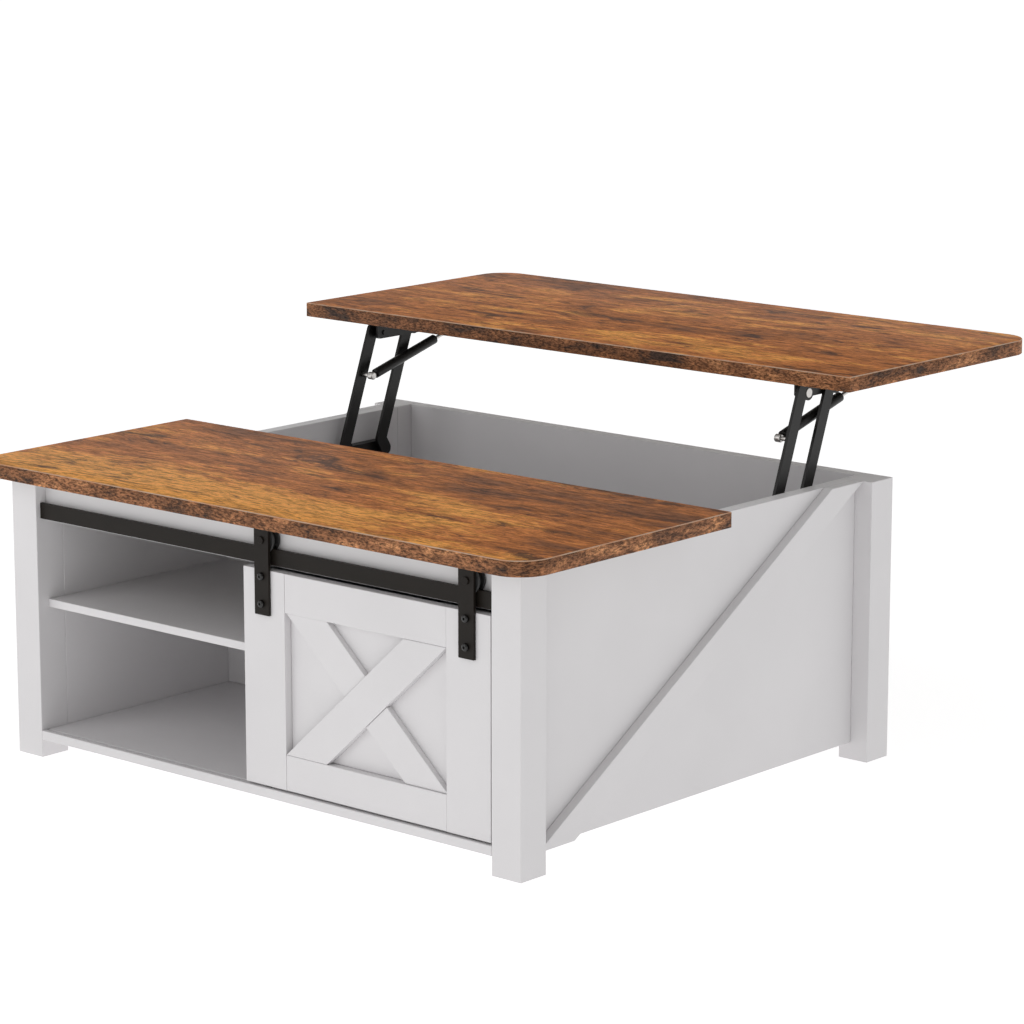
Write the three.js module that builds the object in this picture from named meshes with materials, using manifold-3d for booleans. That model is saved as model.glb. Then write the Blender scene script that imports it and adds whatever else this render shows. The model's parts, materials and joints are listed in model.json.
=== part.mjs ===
// Lift top coffee table: cabinet with a sliding barn door and a rear top half
// that swings up and back on parallel arms. Millimetres, +Z up, front is -Y.
import * as THREE from 'three';
import Module from 'manifold-3d';
import { mergeVertices } from 'three/addons/utils/BufferGeometryUtils.js';

// Driving sizes
const SPAN_X = 982;          // outside of the posts, left to right
const SPAN_Y = 822;          // outside of the posts, front to back
const POST = 51;             // square post
const TABLE_H = 441;         // height with the lift top closed
const TOP_T = 22;            // thickness of both tops
const OVERHANG = 39;         // tops beyond the posts
const TOP_RADIUS = 48;       // outer corners of the tops
const TOP_SPLIT_Y = -19;     // line between the fixed top and the lift top
const TOP_SPLIT_GAP = 2;
const FIT = 0.3;             // gap between parts that touch
const BOARD = 15;            // inner boards
const SIDE_T = 21;           // side panel
const BACK_T = 20;
const BRACE_T = 15;          // diagonal board on each side panel
const BRACE_FOOT = 76;       // its length along the bottom edge
const BOTTOM_Z = 27;         // underside of the bottom board
const BOTTOM_T = 14;
const SHELF_T = 12;
const SHELF_TOP = 236;
const PARTITION_Y = -13;     // rear face of the board under the split
const FASCIA_H = 65;
const FASCIA_BACK = 19;      // fascia behind the front of the posts
const LIFT_RISE = 150;       // travel of the lift top, up and back
const LIFT_BACK = 264;

// Sliding door
const DOOR_LAP = 18;         // door past the middle of the cabinet
const DOOR_SIDE_GAP = 4;     // beside the post
const DOOR_FLOOR_GAP = 3;    // over the bottom board
const DOOR_RAIL_GAP = 7;     // under the door rail
const DOOR_T = 15;
const DOOR_BACK = 3;         // front of the door behind the front of the posts
const DOOR_CLEAR = 2;        // behind the door
const STILE_W = 78;
const TOP_RAIL_H = 55;
const LOW_RAIL_H = 51;
const PANEL_T = 3;
const CROSS_FOOT = 77;       // cross board along the door rails
const CROSS_STEP = 2.5;      // the broken cross boards lie lower
const GROOVE_W = 5;
const GROOVE_D = 6;
const PIN_R = 2;

// Barn door hardware
const RAIL_T = 5;
const RAIL_H = 23;
const RAIL_DROP = 38;        // top of the rail below the tops
const RAIL_BACK = 8;         // front of the rail behind the front of the posts
const RAIL_BOLT_INSET = 40;
const RAIL_BORE = 3.5;       // blind bores in the back of the rail
const SPACER_R = 6;
const STRAP_W = 27;
const STRAP_T = 4.2;
const STRAP_H = 124;
const STRAP_DROP = 7;        // below the tops
const STRAP_BOLT_UP = [16, 54.6];
const BOLT_R = 3;
const TREAD_R = 12;
const FLANGE_R = 19;
const ROLLER_T = 14;
const ROLLER_GROOVE = 6.5;
const AXLE_R = 3;

// Lift linkage, right side; the left side mirrors it
const PIVOT_INSET = 50.44;   // upper front pivot behind the split, closed
const PIVOT_DROP = 19;       // upper pivots below the lift top
const ARM_PITCH = 75.5;      // rear arm behind the front arm
const ARM_LEAN = 69.84;      // degrees from +Y when raised
const ARM_T = 5;
const ARM_W = 20.5;
const ARM_OFFSET = 14.3;     // bar beside the line of its pivots
const EAR_R = 11;
const ARM_PIN_R = 4;
const PIN_FIT = 0.12;
const BRACKET_T = 3;
const ARM_GAP = 1;           // between the planes of the linkage
const BASE_DEPTH = 16;       // base bracket from the side panel
const BASE_MARGIN = 15;
const BASE_UP = 11;          // base bracket above and below its pivots
const BASE_DOWN = 24;
const TOP_PLATE_T = 3.5;
const STRUT_GAP = 0.7;
const STRUT_R = 7.5;
const ROD_R = 3;
const EYE_R = 5.5;           // socket of the strut on its ball stud
const EYE_HALF = 4.5;
const BALL_S = 126.3;        // ball stud along the front arm
const CYLINDER_SHORT = 13;   // cylinder shorter than the closed strut
const BORE_START = 11;
const ANCHOR = [229.1, 11.4]; // strut anchor from the upper front pivot

const HOLE_SEGMENTS = 24;

const HALF_X = SPAN_X / 2;
const HALF_Y = SPAN_Y / 2;
const IN_X = HALF_X - POST;
const IN_Y = HALF_Y - POST;
const UNDER = TABLE_H - TOP_T;
const BODY_TOP = UNDER - FIT;
const FLOOR_Z = BOTTOM_Z + BOTTOM_T;
const EDGE_X = HALF_X + OVERHANG;
const EDGE_Y = HALF_Y + OVERHANG;
const SHELF_FRONT = -HALF_Y + DOOR_BACK + DOOR_T + DOOR_CLEAR;
const LEAN = THREE.MathUtils.degToRad(ARM_LEAN);
const ARM_L = (LIFT_BACK ** 2 + LIFT_RISE ** 2)
  / (2 * (LIFT_BACK * Math.cos(LEAN) + LIFT_RISE * Math.sin(LEAN)));
const LIFT_UNDER = UNDER + LIFT_RISE;
const UPPER_Y = TOP_SPLIT_Y + PIVOT_INSET + LIFT_BACK;
const UPPER_Z = LIFT_UNDER - PIVOT_DROP;
const PIVOT_Y = UPPER_Y - ARM_L * Math.cos(LEAN);
const PIVOT_Z = UPPER_Z - ARM_L * Math.sin(LEAN);
const BASE_PLATE_X = IN_X - BASE_DEPTH;
const FRONT_ARM_X = BASE_PLATE_X - ARM_GAP - ARM_T;
const REAR_ARM_X = FRONT_ARM_X - ARM_GAP - ARM_T;
const TOP_PLATE_X = REAR_ARM_X - ARM_GAP - TOP_PLATE_T;
const STRUT_X = TOP_PLATE_X - STRUT_GAP - STRUT_R;

const wasm = await Module();
wasm.setup();

function material(name, color, roughness, metalness) {
  const m = new THREE.MeshStandardMaterial({ color, roughness, metalness });
  m.name = name;
  return m;
}

const WHITE = material('white_paint', 0xe4e2e0, 0.5, 0);
const WOOD = material('rustic_wood', 0x8a5632, 0.55, 0);
const BLACK = material('black_steel', 0x2b2927, 0.45, 0.8);
const RAIL = material('rail_steel', 0x4a4842, 0.5, 0.7);
const SILVER = material('silver_steel', 0xa9a6a2, 0.35, 0.9);
const NYLON = material('roller_nylon', 0x1c1c1c, 0.5, 0);

const root = new THREE.Group();
root.name = 'lift_top_coffee_table';
root.position.y = -LIFT_BACK / 2;

function put(name, geometry, mat) {
  const mesh = new THREE.Mesh(geometry, mat);
  mesh.name = name;
  root.add(mesh);
  return mesh;
}

function boxGeometry(x0, x1, y0, y1, z0, z1) {
  const g = new THREE.BoxGeometry(x1 - x0, y1 - y0, z1 - z0);
  g.translate((x0 + x1) / 2, (y0 + y1) / 2, (z0 + z1) / 2);
  return g;
}

function board(name, x0, x1, y0, y1, z0, z1, mat = WHITE) {
  return put(name, boxGeometry(x0, x1, y0, y1, z0, z1), mat);
}

// Left and right copy of a box given on the right side
function sideBoxes(name, x0, x1, y0, y1, z0, z1, mat = WHITE) {
  board(name + '_right', x0, x1, y0, y1, z0, z1, mat);
  board(name + '_left', -x1, -x0, y0, y1, z0, z1, mat);
}

function outline(points, holes = []) {
  const shape = new THREE.Shape(points.map((p) => new THREE.Vector2(p[0], p[1])));
  holes.forEach((h, k) => {
    const ring = [];
    for (let i = 0; i < HOLE_SEGMENTS; i += 1) {
      const t = (-2 * Math.PI * (i + 0.37 + 0.23 * k)) / HOLE_SEGMENTS;
      ring.push(new THREE.Vector2(h[0] + h[2] * Math.cos(t), h[1] + h[2] * Math.sin(t)));
    }
    shape.holes.push(new THREE.Path(ring));
  });
  return shape;
}

// Outline in (y, z), thick along X
function extrudeX(points, x0, x1, holes = []) {
  const options = { depth: x1 - x0, bevelEnabled: false };
  const g = new THREE.ExtrudeGeometry(outline(points, holes), options);
  const turn = new THREE.Matrix4();
  turn.set(0, 0, 1, x0, 1, 0, 0, 0, 0, 1, 0, 0, 0, 0, 0, 1);
  g.applyMatrix4(turn);
  return g;
}

// Outline in (x, z), thick along Y
function extrudeY(points, y0, y1, holes = []) {
  const options = { depth: y1 - y0, bevelEnabled: false };
  const g = new THREE.ExtrudeGeometry(outline(points, holes), options);
  g.rotateX(Math.PI / 2);
  g.translate(0, y1, 0);
  return g;
}

function mirrorX(geometry) {
  const g = geometry.clone();
  g.applyMatrix4(new THREE.Matrix4().makeScale(-1, 1, 1));
  const index = g.index;
  if (index) {
    for (let i = 0; i < index.count; i += 3) {
      const a = index.getX(i);
      index.setX(i, index.getX(i + 1));
      index.setX(i + 1, a);
    }
  } else {
    for (const key of Object.keys(g.attributes)) {
      const item = g.attributes[key];
      const n = item.itemSize;
      for (let i = 0; i < item.count; i += 3) {
        for (let k = 0; k < n; k += 1) {
          const a = item.array[i * n + k];
          item.array[i * n + k] = item.array[(i + 1) * n + k];
          item.array[(i + 1) * n + k] = a;
        }
      }
    }
  }
  g.deleteAttribute('normal');
  g.computeVertexNormals();
  return g;
}

function pair(name, geometry, mat) {
  put(name + '_right', geometry, mat);
  put(name + '_left', mirrorX(geometry), mat);
}

function toManifold(geometry) {
  const g = geometry.clone();
  g.deleteAttribute('normal');
  g.deleteAttribute('uv');
  const merged = mergeVertices(g, 1e-4);
  const vertProperties = new Float32Array(merged.attributes.position.array);
  const triVerts = new Uint32Array(merged.index.array);
  const mesh = new wasm.Mesh({ numProp: 3, vertProperties, triVerts });
  return new wasm.Manifold(mesh);
}

function fromManifold(solid) {
  const mesh = solid.getMesh();
  const g = new THREE.BufferGeometry();
  g.setAttribute('position', new THREE.BufferAttribute(new Float32Array(mesh.vertProperties), 3));
  g.setIndex(new THREE.BufferAttribute(new Uint32Array(mesh.triVerts), 1));
  const flat = g.toNonIndexed();
  flat.computeVertexNormals();
  return flat;
}

function joined(geometries) {
  let solid = toManifold(geometries[0]);
  for (const g of geometries.slice(1)) {
    solid = solid.add(toManifold(g));
  }
  return fromManifold(solid);
}

// Cylinder with its axis along X
function rodX(radius, x0, x1, y, z, segments = 24) {
  const g = new THREE.CylinderGeometry(radius, radius, x1 - x0, segments);
  g.rotateZ(Math.PI / 2);
  g.translate((x0 + x1) / 2, y, z);
  return g;
}

// Profile in (radius, y), turned about Y
function turned(profile, x, y, z, segments = 20) {
  const points = profile.map((p) => new THREE.Vector2(p[0], p[1]));
  const g = new THREE.LatheGeometry(points, segments);
  g.translate(x, y, z);
  return g;
}

// Convex outline round two circles
function capsule(a, ra, b, rb, steps = 12) {
  const dx = b[0] - a[0];
  const dy = b[1] - a[1];
  const length = Math.hypot(dx, dy);
  const base = Math.atan2(dy, dx);
  const spread = Math.acos((ra - rb) / length);
  const points = [];
  for (let i = 0; i <= steps; i += 1) {
    const t = base - spread + (2 * spread * i) / steps;
    points.push([b[0] + rb * Math.cos(t), b[1] + rb * Math.sin(t)]);
  }
  for (let i = 0; i <= steps; i += 1) {
    const t = base + spread + ((2 * Math.PI - 2 * spread) * i) / steps;
    points.push([a[0] + ra * Math.cos(t), a[1] + ra * Math.sin(t)]);
  }
  return points;
}

// Cabinet -------------------------------------------------------------

function makeLegs() {
  const names = [['front_left', -1, -1], ['front_right', 1, -1], ['rear_left', -1, 1], ['rear_right', 1, 1]];
  for (const [name, sx, sy] of names) {
    const x = sx * (HALF_X - POST / 2);
    const y = sy * (HALF_Y - POST / 2);
    const h = POST / 2;
    board('leg_' + name, x - h, x + h, y - h, y + h, 0, BODY_TOP);
  }
}

function makeSides() {
  const y = IN_Y - FIT;
  sideBoxes('side_panel', IN_X, IN_X + SIDE_T, -y, y, BOTTOM_Z - 1, BODY_TOP);
  const z0 = BOTTOM_Z - 1;
  const points = [[-y, z0], [-y + BRACE_FOOT, z0], [y, BODY_TOP], [y - BRACE_FOOT, BODY_TOP]];
  const x0 = IN_X + SIDE_T + FIT;
  pair('side_brace', extrudeX(points, x0, IN_X + SIDE_T + BRACE_T), WHITE);
}

function makeCabinet() {
  const x = IN_X - FIT;
  const front = -HALF_Y;
  const backIn = HALF_Y - BACK_T;
  board('back_panel', -x, x, backIn, HALF_Y, BOTTOM_Z, BODY_TOP);

  const grooveY = front + DOOR_BACK + DOOR_T / 2;
  const g0 = grooveY - GROOVE_W / 2;
  const g1 = grooveY + GROOVE_W / 2;
  const floor = [
    [front, BOTTOM_Z], [backIn - FIT, BOTTOM_Z], [backIn - FIT, FLOOR_Z],
    [g1, FLOOR_Z], [g1, FLOOR_Z - GROOVE_D], [g0, FLOOR_Z - GROOVE_D],
    [g0, FLOOR_Z], [front, FLOOR_Z],
  ];
  put('bottom_board', extrudeX(floor, -x, x), WHITE);

  const partFront = PARTITION_Y - BOARD;
  board('partition_board', -x, x, partFront, PARTITION_Y, FLOOR_Z + FIT, BODY_TOP);

  const fasciaFront = front + FASCIA_BACK;
  const fasciaBack = fasciaFront + BOARD;
  const fasciaZ = UNDER - FASCIA_H;
  const fascia = [[-x, fasciaZ], [x, fasciaZ], [x, BODY_TOP], [-x, BODY_TOP]];
  const bores = RAIL_BOLT_X.map((bx) => [bx, RAIL_BOLT_Z, BOLT_R + FIT]);
  put('fascia_board', extrudeY(fascia, fasciaFront, fasciaBack, bores), WHITE);

  const divider = [
    [SHELF_FRONT, FLOOR_Z + FIT], [partFront - FIT, FLOOR_Z + FIT], [partFront - FIT, BODY_TOP],
    [fasciaBack + FIT, BODY_TOP], [fasciaBack + FIT, fasciaZ - FIT], [SHELF_FRONT, fasciaZ - FIT],
  ];
  put('centre_divider', extrudeX(divider, -BOARD / 2, BOARD / 2), WHITE);
  sideBoxes('shelf', BOARD / 2 + FIT, x, SHELF_FRONT, partFront - FIT, SHELF_TOP - SHELF_T, SHELF_TOP);
}

// Top half with its two outer corners rounded; outer edge is at -Y or +Y
function topGeometry(y0, y1, roundFront) {
  const r = TOP_RADIUS;
  const shape = new THREE.Shape();
  if (roundFront) {
    shape.moveTo(-EDGE_X + r, y0);
    shape.lineTo(EDGE_X - r, y0);
    shape.absarc(EDGE_X - r, y0 + r, r, -Math.PI / 2, 0, false);
    shape.lineTo(EDGE_X, y1);
    shape.lineTo(-EDGE_X, y1);
    shape.lineTo(-EDGE_X, y0 + r);
    shape.absarc(-EDGE_X + r, y0 + r, r, Math.PI, 1.5 * Math.PI, false);
  } else {
    shape.moveTo(-EDGE_X, y0);
    shape.lineTo(EDGE_X, y0);
    shape.lineTo(EDGE_X, y1 - r);
    shape.absarc(EDGE_X - r, y1 - r, r, 0, Math.PI / 2, false);
    shape.lineTo(-EDGE_X + r, y1);
    shape.absarc(-EDGE_X + r, y1 - r, r, Math.PI / 2, Math.PI, false);
    shape.lineTo(-EDGE_X, y0);
  }
  return new THREE.ExtrudeGeometry(shape, { depth: TOP_T, bevelEnabled: false, curveSegments: 14 });
}

function makeTops() {
  const fixed = topGeometry(-EDGE_Y, TOP_SPLIT_Y - TOP_SPLIT_GAP / 2, true);
  fixed.translate(0, 0, UNDER);
  put('fixed_top', fixed, WOOD);
  const start = TOP_SPLIT_Y + TOP_SPLIT_GAP / 2 + LIFT_BACK;
  const lift = topGeometry(start, EDGE_Y + LIFT_BACK, false);
  lift.translate(0, 0, LIFT_UNDER);
  put('lift_top', lift, WOOD);
}

// Door ----------------------------------------------------------------

const RAIL_TOP = UNDER - RAIL_DROP;
const DOOR_L = -DOOR_LAP;
const DOOR_R = IN_X - DOOR_SIDE_GAP;
const DOOR_BOTTOM = FLOOR_Z + DOOR_FLOOR_GAP;
const DOOR_TOP = RAIL_TOP - RAIL_H - DOOR_RAIL_GAP;
const DOOR_FRONT = -HALF_Y + DOOR_BACK;
const DOOR_REAR = DOOR_FRONT + DOOR_T;
const STRAP_X = [DOOR_L + STILE_W / 2, DOOR_R - STILE_W / 2];
const AXLE_Z = RAIL_TOP + TREAD_R + FIT;
const STRAP_TOP = UNDER - STRAP_DROP;
const STRAP_BOTTOM = STRAP_TOP - STRAP_H;
const STRAP_BOLT_Z = STRAP_BOLT_UP.map((up) => STRAP_BOTTOM + up);
const RAIL_BOLT_Z = AXLE_Z - FLANGE_R - SPACER_R - 1;
const RAIL_BOLT_X = [RAIL_BOLT_INSET - IN_X, DOOR_L - SPACER_R, (DOOR_L + DOOR_R) / 2];

function makeDoor() {
  const inL = DOOR_L + STILE_W;
  const inR = DOOR_R - STILE_W;
  const names = ['left', 'right'];
  for (let i = 0; i < 2; i += 1) {
    const x0 = i === 0 ? DOOR_L : inR;
    const x1 = x0 + STILE_W;
    const holes = STRAP_BOLT_Z.map((z) => [STRAP_X[i], z, BOLT_R + FIT]);
    const points = [[x0, DOOR_BOTTOM], [x1, DOOR_BOTTOM], [x1, DOOR_TOP], [x0, DOOR_TOP]];
    put('door_stile_' + names[i], extrudeY(points, DOOR_FRONT, DOOR_REAR, holes), WHITE);
  }
  const railTop = DOOR_TOP - TOP_RAIL_H;
  const railLow = DOOR_BOTTOM + LOW_RAIL_H;
  board('door_rail_top', inL + FIT, inR - FIT, DOOR_FRONT, DOOR_REAR, railTop, DOOR_TOP);
  board('door_rail_bottom', inL + FIT, inR - FIT, DOOR_FRONT, DOOR_REAR, DOOR_BOTTOM, railLow);

  const x0 = inL + FIT;
  const x1 = inR - FIT;
  const z0 = railLow + FIT;
  const z1 = railTop - FIT;
  board('door_panel', x0, x1, DOOR_REAR - PANEL_T, DOOR_REAR, z0, z1);

  const crossBack = DOOR_REAR - PANEL_T - FIT;
  const f = CROSS_FOOT;
  const whole = [[x0, z0], [x0 + f, z0], [x1, z1], [x1 - f, z1]];
  put('cross_board', extrudeY(whole, DOOR_FRONT, crossBack), WHITE);

  // The other diagonal in two pieces that stop at the whole board
  const slope = (z1 - z0) / (x1 - f - x0);
  const broken = [[x1 - f, z0], [x1, z0], [x0 + f, z1], [x0, z1]];
  const lower = slope;
  const meet = (ax, az, bx, bz, offset) => {
    const m = (bz - az) / (bx - ax);
    const x = (az - m * ax - z0 + lower * (x0 + offset)) / (lower - m);
    return [x, z0 + lower * (x - x0 - offset)];
  };
  const gap = FIT * Math.hypot(1, slope) / slope;
  const leftEdge = [...broken[3], ...broken[0]];
  const rightEdge = [...broken[2], ...broken[1]];
  const upper = [broken[3], meet(...leftEdge, -gap), meet(...rightEdge, -gap), broken[2]];
  const under = [meet(...leftEdge, f + gap), broken[0], broken[1], meet(...rightEdge, f + gap)];
  const y0 = DOOR_FRONT + CROSS_STEP;
  put('cross_board_upper', extrudeY(upper, y0, crossBack), WHITE);
  put('cross_board_lower', extrudeY(under, y0, crossBack), WHITE);

  const pinY = (DOOR_FRONT + DOOR_REAR) / 2;
  for (let i = 0; i < 2; i += 1) {
    const pin = new THREE.CylinderGeometry(PIN_R, PIN_R, GROOVE_D + 1, 16);
    pin.rotateX(Math.PI / 2);
    pin.translate(STRAP_X[i], pinY, DOOR_BOTTOM - FIT - (GROOVE_D + 1) / 2);
    put('guide_pin_' + names[i], pin, NYLON);
  }
}

// Strap, its bolts, axle and roller at one end of the door
function makeHanger(side, x) {
  const y1 = DOOR_FRONT - FIT;
  const y0 = y1 - STRAP_T;
  const w = STRAP_W / 2;
  const holes = STRAP_BOLT_Z.map((z) => [x, z, BOLT_R + FIT]);
  holes.push([x, AXLE_Z, AXLE_R + FIT]);
  const points = [[x - w, STRAP_BOTTOM], [x + w, STRAP_BOTTOM], [x + w, STRAP_TOP], [x - w, STRAP_TOP]];
  put('door_strap_' + side, extrudeY(points, y0, y1, holes), RAIL);

  const headBack = FIT;
  const shank = STRAP_T + DOOR_T + FIT;
  const bolt = [
    [0, -4.6], [2.6, -4.2], [4.4, -3.2], [5.4, -1.6], [5.5, -headBack],
    [BOLT_R, -headBack], [BOLT_R, shank], [0, shank],
  ];
  const levels = ['low', 'high'];
  for (let i = 0; i < 2; i += 1) {
    put('strap_bolt_' + side + '_' + levels[i], turned(bolt, x, y0, STRAP_BOLT_Z[i]), BLACK);
  }

  const rollerY = -HALF_Y + RAIL_BACK + RAIL_T / 2;
  const h = ROLLER_T / 2;
  const reach = rollerY + h - y0;
  const axle = [
    [0, -2.3], [4.9, -2.3], [5.5, -1.7], [5.5, -headBack],
    [AXLE_R, -headBack], [AXLE_R, reach], [0, reach],
  ];
  put('roller_axle_' + side, turned(axle, x, y0, AXLE_Z), BLACK);

  const n = ROLLER_GROOVE / 2;
  const bore = AXLE_R + 0.1;
  const wheel = [
    [bore, -h], [FLANGE_R - 1, -h], [FLANGE_R, -h + 1], [FLANGE_R, -n - 1], [TREAD_R, -n],
    [TREAD_R, n], [FLANGE_R, n + 1], [FLANGE_R, h - 1], [FLANGE_R - 1, h], [bore, h], [bore, -h],
  ];
  put('roller_' + side, turned(wheel, x, rollerY, AXLE_Z, 32), NYLON);
}

// Rail, held by bolts that come through the fascia and its spacers from behind
function makeRail() {
  const y0 = -HALF_Y + RAIL_BACK;
  const y1 = y0 + RAIL_T;
  const x = IN_X - FIT;
  let rail = toManifold(boxGeometry(-x, x, y0, y1, RAIL_TOP - RAIL_H, RAIL_TOP));
  for (const bx of RAIL_BOLT_X) {
    const bore = new THREE.CylinderGeometry(BOLT_R + FIT, BOLT_R + FIT, 2 * RAIL_BORE, HOLE_SEGMENTS);
    bore.translate(bx, y1, RAIL_BOLT_Z);
    rail = rail.subtract(toManifold(bore));
  }
  put('door_rail', fromManifold(rail), RAIL);

  const far = FASCIA_BACK - RAIL_BACK - RAIL_T - FIT;
  const ring = [
    [BOLT_R + FIT, FIT], [SPACER_R, FIT], [SPACER_R, far], [BOLT_R + FIT, far], [BOLT_R + FIT, FIT],
  ];
  const tip = FIT - RAIL_BORE;
  const head = far + BOARD + 2 * FIT;
  const bolt = [
    [0, tip], [BOLT_R, tip], [BOLT_R, head], [4.5, head], [4.5, head + 1.4], [3.4, head + 2.5],
    [0, head + 2.8],
  ];
  RAIL_BOLT_X.forEach((bx, i) => {
    put('rail_spacer_' + (i + 1), turned(ring, bx, y1, RAIL_BOLT_Z), RAIL);
    put('rail_bolt_' + (i + 1), turned(bolt, bx, y1, RAIL_BOLT_Z), RAIL);
  });
}

// Lift linkage ----------------------------------------------------------

// Point on an arm, s along its pivots and t beside them
function armPoint(y, s, t) {
  const c = Math.cos(LEAN);
  const n = Math.sin(LEAN);
  return [y + s * c - t * n, PIVOT_Z + s * n + t * c];
}

function armGeometry(y, x0, lowPin, highPin, stud) {
  const r = ARM_W / 2;
  const step = 12;
  const low = armPoint(y, 0, 0);
  const high = armPoint(y, ARM_L, 0);
  const barLow = armPoint(y, step, ARM_OFFSET);
  const barHigh = armPoint(y, ARM_L, ARM_OFFSET);
  const x1 = x0 + ARM_T;
  const parts = [
    extrudeX(capsule(barLow, r, barHigh, r), x0, x1),
    extrudeX(capsule(low, EAR_R, barLow, r), x0, x1),
    extrudeX(capsule(barHigh, r, high, EAR_R), x0, x1),
  ];
  const boss = 7;
  parts.push(rodX(boss, x1 - 1, lowPin[0], ...low));
  parts.push(rodX(ARM_PIN_R, lowPin[0] - 1, lowPin[1], ...low));
  parts.push(rodX(boss, highPin[0], x0 + 1, ...high));
  parts.push(rodX(ARM_PIN_R, highPin[1], highPin[0] + 1, ...high));
  if (stud) {
    const ball = armPoint(y, BALL_S, ARM_OFFSET);
    parts.push(rodX(5.5, x0 - ARM_GAP + FIT, x0 + 1, ...ball));
    parts.push(rodX(ROD_R, stud, x0 + 1, ...ball, 16));
  }
  return joined(parts);
}

function makeArms() {
  const lowPin = [BASE_PLATE_X - FIT, BASE_PLATE_X + BRACKET_T + 2];
  const highPin = [TOP_PLATE_X + TOP_PLATE_T + FIT, TOP_PLATE_X - 2];
  const stud = STRUT_X - EYE_HALF + 1;
  pair('front_arm', armGeometry(PIVOT_Y, FRONT_ARM_X, lowPin, highPin, stud), BLACK);
  pair('rear_arm', armGeometry(PIVOT_Y + ARM_PITCH, REAR_ARM_X, lowPin, highPin, 0), BLACK);
}

function makeBrackets() {
  const hole = ARM_PIN_R + PIN_FIT;
  // Hat shaped bracket on the side panel
  const y0 = PIVOT_Y - BASE_MARGIN;
  const y1 = PIVOT_Y + ARM_PITCH + BASE_MARGIN;
  const z0 = PIVOT_Z - BASE_DOWN;
  const z1 = PIVOT_Z + BASE_UP;
  const rim = BASE_PLATE_X + BRACKET_T - 0.5;
  const wall = IN_X - FIT;
  const plate = [[y0, z0], [y1, z0], [y1, z1], [y0, z1]];
  const holes = [[PIVOT_Y, PIVOT_Z, hole], [PIVOT_Y + ARM_PITCH, PIVOT_Z, hole]];
  const base = joined([
    extrudeX(plate, BASE_PLATE_X, BASE_PLATE_X + BRACKET_T, holes),
    boxGeometry(rim, wall, y0, y1, z0, z0 + BRACKET_T),
    boxGeometry(rim, wall, y0, y1, z1 - BRACKET_T, z1),
  ]);
  pair('base_bracket', base, BLACK);

  // Angle under the lift top, rounded below the two upper pivots
  const under = LIFT_UNDER - FIT;
  const front = UPPER_Y - 15;
  const rear = UPPER_Y + ANCHOR[0] + 12;
  const ear = UPPER_Z - EAR_R + 2;
  const plateTop = [
    [front, under], [front, ear + 6], [front + 6, ear], [rear - 6, ear], [rear, ear + 6], [rear, under],
  ];
  const topHoles = [[UPPER_Y, UPPER_Z, hole], [UPPER_Y + ARM_PITCH, UPPER_Z, hole]];
  const inner = TOP_PLATE_X - 24;
  const top = joined([
    extrudeX(plateTop, TOP_PLATE_X, TOP_PLATE_X + TOP_PLATE_T, topHoles),
    boxGeometry(inner, TOP_PLATE_X + 0.5, front, rear, under - 2.5, under),
  ]);
  pair('top_bracket', top, BLACK);
}

// Ball to anchor with the upper pivot moved by (dy, dz)
function strutSpan(dy, dz) {
  const lean = Math.atan2(UPPER_Z + dz - PIVOT_Z, UPPER_Y + dy - PIVOT_Y);
  const c = Math.cos(lean);
  const n = Math.sin(lean);
  const by = PIVOT_Y + BALL_S * c - ARM_OFFSET * n;
  const bz = PIVOT_Z + BALL_S * n + ARM_OFFSET * c;
  return Math.hypot(UPPER_Y + dy + ANCHOR[0] - by, UPPER_Z + dz + ANCHOR[1] - bz);
}

// Gas strut from the ball on the front arm to its anchor on the top bracket
function makeStruts() {
  const [by, bz] = armPoint(PIVOT_Y, BALL_S, ARM_OFFSET);
  const ay = UPPER_Y + ANCHOR[0];
  const az = UPPER_Z + ANCHOR[1];
  const length = strutSpan(0, 0);
  const closed = strutSpan(-LIFT_BACK, -LIFT_RISE);
  const tubeEnd = closed - CYLINDER_SHORT;
  const angle = Math.atan2(az - bz, ay - by);
  const place = (g) => {
    g.rotateX(angle);
    g.translate(STRUT_X, by, bz);
    return g;
  };
  const turnAxis = (profile, segments = 24) => {
    const points = profile.map((p) => new THREE.Vector2(p[0], p[1]));
    return new THREE.LatheGeometry(points, segments);
  };
  const bore = ROD_R + 0.3;
  const socket = ROD_R + 0.25;
  const tube = turnAxis([
    [0, 4], [4.4, 4.5], [4.4, BORE_START - 3], [STRUT_R, BORE_START - 2], [STRUT_R, tubeEnd - 1],
    [STRUT_R - 1, tubeEnd], [bore, tubeEnd], [bore, BORE_START], [0, BORE_START],
  ]);
  const eye = new THREE.CylinderGeometry(EYE_R, EYE_R, 2 * EYE_HALF, 24);
  eye.rotateZ(Math.PI / 2);
  const pinHole = new THREE.CylinderGeometry(socket, socket, 20, 24);
  pinHole.rotateZ(Math.PI / 2);
  const body = toManifold(tube).add(toManifold(eye)).subtract(toManifold(pinHole));
  pair('strut_cylinder', place(fromManifold(body)), SILVER);

  const start = BORE_START + length - closed + 1;
  const rod = turnAxis([[0, start], [ROD_R, start], [ROD_R, length - 5], [0, length - 5]]);
  const end = new THREE.CylinderGeometry(4.4, 4.4, 2 * EYE_HALF, 24);
  end.rotateZ(Math.PI / 2);
  end.translate(0, length, 0);
  const collar = turnAxis([[0, length - 11], [4.2, length - 11], [4.2, length - 2], [0, length - 2]]);
  const stud = new THREE.CylinderGeometry(ROD_R, ROD_R, TOP_PLATE_X - FIT - STRUT_X, 20);
  stud.rotateZ(Math.PI / 2);
  stud.translate((TOP_PLATE_X - FIT - STRUT_X) / 2, length, 0);
  pair('strut_rod', place(joined([rod, collar, end, stud])), SILVER);
}

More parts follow.
